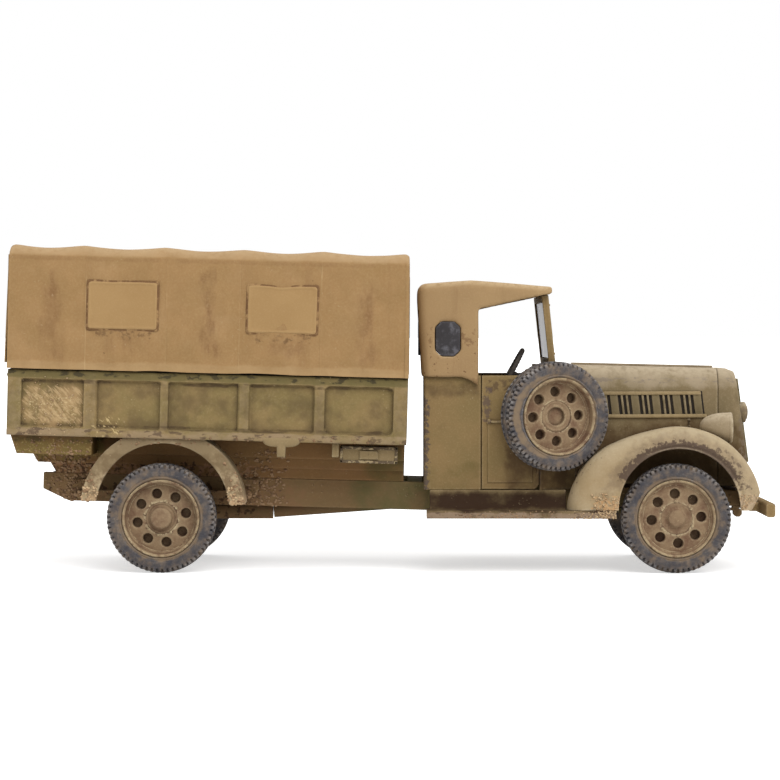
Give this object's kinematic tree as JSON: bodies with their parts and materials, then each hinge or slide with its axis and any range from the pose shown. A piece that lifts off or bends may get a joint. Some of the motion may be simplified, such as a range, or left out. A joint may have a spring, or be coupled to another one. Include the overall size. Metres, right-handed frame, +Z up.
{
  "type": "scale model military cargo truck",
  "caption": "Painted 1:56 scale model of a 1930s canvas-covered military cargo truck with an open cab, side spare wheel and free-rolling road wheels.",
  "frame": {"origin": "on the ground under the middle of the bounding box", "axes": "+X forward, +Y to the truck's left, +Z up"},
  "size_m": [0.1164, 0.0398, 0.0498],
  "materials": {
    "olive_paint": "matt olive khaki, chipped and dusted",
    "canvas_paint": "matt, dry-brushed sand tan",
    "tyre_paint": "matt dark grey, dusty",
    "wheel_paint": "matt olive brown, washed",
    "frame_paint": "matt brown, muddy",
    "interior_paint": "matt pale grey",
    "dark_paint": "matt near-black wash",
    "pane_paint": "satin pale grey"
  },
  "bodies": {
    "chassis": {"bearers": "frame_paint", "bed_cover": "canvas_paint", "bed_floor": "olive_paint", "bed_lugs": "olive_paint", "bed_side_left": "olive_paint", "bed_side_right": "olive_paint", "cab_panes": "dark_paint", "cab_quarter_left": "olive_paint", "cab_quarter_right": "olive_paint", "cab_roof": "canvas_paint", "cab_tub": "interior_paint", "cover_flaps": "canvas_paint", "cowl": "olive_paint", "cross_members": "frame_paint", "dashboard": "interior_paint", "door_left": "olive_paint", "door_right": "olive_paint", "drive_shaft": "frame_paint", "engine_block": "frame_paint", "front_axle": "frame_paint", "front_bumper": "olive_paint", "front_fender_left": "olive_paint", "front_fender_right": "olive_paint", "front_springs": "frame_paint", "grille": "dark_paint", "headboard": "olive_paint", "headlight_left": "olive_paint", "headlight_lenses": "pane_paint", "headlight_right": "olive_paint", "hood": "olive_paint", "knuckles": "frame_paint", "louvre_panel_left": "olive_paint", "louvre_panel_right": "olive_paint", "radiator_boss": "olive_paint", "radiator_shell": "olive_paint", "rail_left": "frame_paint", "rail_right": "frame_paint", "rear_axle": "frame_paint", "rear_curtain": "canvas_paint", "rear_fender_left": "olive_paint", "rear_fender_right": "olive_paint", "rear_springs": "frame_paint", "running_board_left": "olive_paint", "running_board_right": "olive_paint", "seat": "interior_paint", "spare_tyre": "tyre_paint", "spare_wheel": "wheel_paint", "steering_wheel": "dark_paint", "tailgate": "olive_paint", "toolboxes": "olive_paint", "windscreen_frame": "olive_paint", "windscreen_glass": "pane_paint"},
    "front_left_wheel": {"wheel_front_left": "wheel_paint", "tyre_front_left": "tyre_paint"},
    "front_right_wheel": {"wheel_front_right": "wheel_paint", "tyre_front_right": "tyre_paint"},
    "rear_left_wheel": {"wheel_rear_left": "wheel_paint", "tyre_rear_left": "tyre_paint"},
    "rear_right_wheel": {"wheel_rear_right": "wheel_paint", "tyre_rear_right": "tyre_paint"}
  },
  "joints": [
    {"name": "front_left_wheel_spin", "type": "hinge", "parent": "chassis", "child": "front_left_wheel", "pos_m": [0.0433, 0.0149, 0.0083], "axis": [0, 1, 0], "continuous": true},
    {"name": "front_right_wheel_spin", "type": "hinge", "parent": "chassis", "child": "front_right_wheel", "pos_m": [0.0433, -0.0149, 0.0083], "axis": [0, 1, 0], "continuous": true},
    {"name": "rear_left_wheel_spin", "type": "hinge", "parent": "chassis", "child": "rear_left_wheel", "pos_m": [-0.0347, 0.0149, 0.0083], "axis": [0, 1, 0], "continuous": true},
    {"name": "rear_right_wheel_spin", "type": "hinge", "parent": "chassis", "child": "rear_right_wheel", "pos_m": [-0.0347, -0.0149, 0.0083], "axis": [0, 1, 0], "continuous": true}
  ]
}
